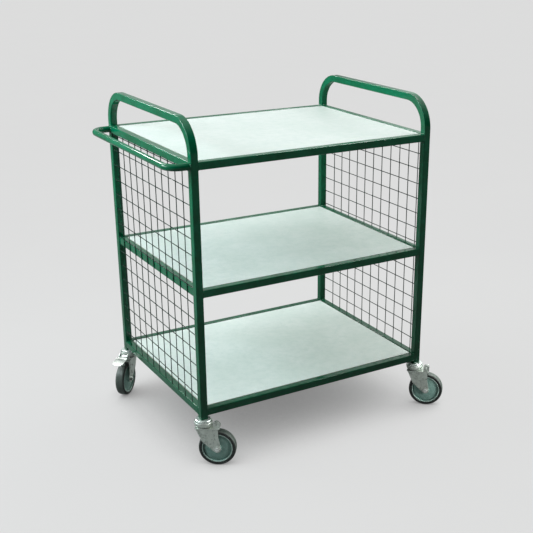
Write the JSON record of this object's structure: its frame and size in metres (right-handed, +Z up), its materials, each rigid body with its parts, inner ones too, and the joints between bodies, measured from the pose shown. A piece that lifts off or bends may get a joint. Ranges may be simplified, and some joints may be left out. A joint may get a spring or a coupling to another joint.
{
  "type": "three-tier mesh-ended stock trolley",
  "caption": "Tube-framed shelf trolley with flat laminate shelves, welded mesh ends, looped end rails, a push handle and swivel castors.",
  "frame": {"origin": "centre of the bottom shelf board's upper face, 201 mm above the floor", "axes": "+Z up; +X away from the push handle along the long side; +Y to the back, so the front is at -Y"},
  "size_m": [1.0426, 0.7744, 1.144],
  "materials": {
    "green_paint": "gloss powder coat",
    "mesh_paint": "gloss powder coat",
    "board_laminate": "fine-textured pale laminate on board",
    "zinc_pressing": "bright zinc plate",
    "zinc_hardware": "bright zinc plate",
    "bright_steel": "polished steel",
    "grey_nylon": "moulded grey nylon",
    "black_tyre": "smooth rubber tread"
  },
  "bodies": {
    "trolley_frame": {"end_hoop_left": "green_paint", "end_hoop_right": "green_paint", "rail_bottom_front": "green_paint", "rail_bottom_back": "green_paint", "rail_bottom_left": "green_paint", "rail_bottom_right": "green_paint", "rail_middle_front": "green_paint", "rail_middle_back": "green_paint", "rail_middle_left": "green_paint", "rail_middle_right": "green_paint", "rail_top_front": "green_paint", "rail_top_back": "green_paint", "rail_top_left": "green_paint", "rail_top_right": "green_paint", "push_handle": "green_paint", "mesh_panel_left": "mesh_paint", "mesh_panel_right": "mesh_paint", "shelf_board_bottom": "board_laminate", "shelf_board_middle": "board_laminate", "shelf_board_top": "board_laminate", "board_support_strips": "green_paint", "board_screws": "zinc_hardware", "castor_stem_plugs": "bright_steel", "castor_mount_bolts": "zinc_hardware", "castor_bearing_balls": "bright_steel", "castor_crown_front_left": "zinc_pressing", "castor_crown_front_right": "zinc_pressing", "castor_crown_back_left": "zinc_pressing", "castor_crown_back_right": "zinc_pressing"},
    "castor_front_left": {"castor_fork_front_left": "zinc_pressing", "castor_axle_bolt_front_left": "zinc_hardware", "castor_axle_nut_front_left": "zinc_hardware", "castor_axle_bush_front_left": "bright_steel"},
    "wheel_front_left": {"castor_wheel_centre_front_left": "grey_nylon", "castor_tyre_front_left": "black_tyre"},
    "castor_front_right": {"castor_fork_front_right": "zinc_pressing", "castor_axle_bolt_front_right": "zinc_hardware", "castor_axle_nut_front_right": "zinc_hardware", "castor_axle_bush_front_right": "bright_steel"},
    "wheel_front_right": {"castor_wheel_centre_front_right": "grey_nylon", "castor_tyre_front_right": "black_tyre"},
    "castor_back_left": {"castor_fork_back_left": "zinc_pressing", "castor_axle_bolt_back_left": "zinc_hardware", "castor_axle_nut_back_left": "zinc_hardware", "castor_axle_bush_back_left": "bright_steel", "brake_pivot_pin_back_left": "zinc_hardware"},
    "wheel_back_left": {"castor_wheel_centre_back_left": "grey_nylon", "castor_tyre_back_left": "black_tyre"},
    "pedal_back_left": {"brake_pedal_back_left": "zinc_pressing", "brake_spring_back_left": "bright_steel"},
    "castor_back_right": {"castor_fork_back_right": "zinc_pressing", "castor_axle_bolt_back_right": "zinc_hardware", "castor_axle_nut_back_right": "zinc_hardware", "castor_axle_bush_back_right": "bright_steel", "brake_pivot_pin_back_right": "zinc_hardware"},
    "wheel_back_right": {"castor_wheel_centre_back_right": "grey_nylon", "castor_tyre_back_right": "black_tyre"},
    "pedal_back_right": {"brake_pedal_back_right": "zinc_pressing", "brake_spring_back_right": "bright_steel"}
  },
  "joints": [
    {"name": "castor_swivel_front_left", "type": "hinge", "parent": "trolley_frame", "child": "castor_front_left", "pos_m": [-0.4325, -0.33, -0.046], "axis": [0, 0, 1], "continuous": true},
    {"name": "wheel_spin_front_left", "type": "hinge", "parent": "castor_front_left", "child": "wheel_front_left", "pos_m": [-0.39519, -0.35516, -0.1385], "axis": [0.5592, 0.829, 0], "continuous": true},
    {"name": "castor_swivel_front_right", "type": "hinge", "parent": "trolley_frame", "child": "castor_front_right", "pos_m": [0.4325, -0.33, -0.046], "axis": [0, 0, 1], "continuous": true},
    {"name": "wheel_spin_front_right", "type": "hinge", "parent": "castor_front_right", "child": "wheel_front_right", "pos_m": [0.46594, -0.36011, -0.1385], "axis": [0.6691, 0.7431, 0], "continuous": true},
    {"name": "castor_swivel_back_left", "type": "hinge", "parent": "trolley_frame", "child": "castor_back_left", "pos_m": [-0.4325, 0.33, -0.046], "axis": [0, 0, 1], "continuous": true},
    {"name": "wheel_spin_back_left", "type": "hinge", "parent": "castor_back_left", "child": "wheel_back_left", "pos_m": [-0.46376, 0.29763, -0.1385], "axis": [0.7193, -0.6947, 0], "continuous": true},
    {"name": "brake_pedal_tilt_back_left", "type": "hinge", "parent": "castor_back_left", "child": "pedal_back_left", "pos_m": [-0.46376, 0.29763, -0.05], "axis": [0.7193, -0.6947, 0], "range_deg": [0, 13], "stiffness_Nm_per_rad": 0.5},
    {"name": "castor_swivel_back_right", "type": "hinge", "parent": "trolley_frame", "child": "castor_back_right", "pos_m": [0.4325, 0.33, -0.046], "axis": [0, 0, 1], "continuous": true},
    {"name": "wheel_spin_back_right", "type": "hinge", "parent": "castor_back_right", "child": "wheel_back_right", "pos_m": [0.40239, 0.29656, -0.1385], "axis": [0.7431, -0.6691, 0], "continuous": true},
    {"name": "brake_pedal_tilt_back_right", "type": "hinge", "parent": "castor_back_right", "child": "pedal_back_right", "pos_m": [0.40239, 0.29656, -0.05], "axis": [0.7431, -0.6691, 0], "range_deg": [0, 13], "stiffness_Nm_per_rad": 0.5}
  ]
}
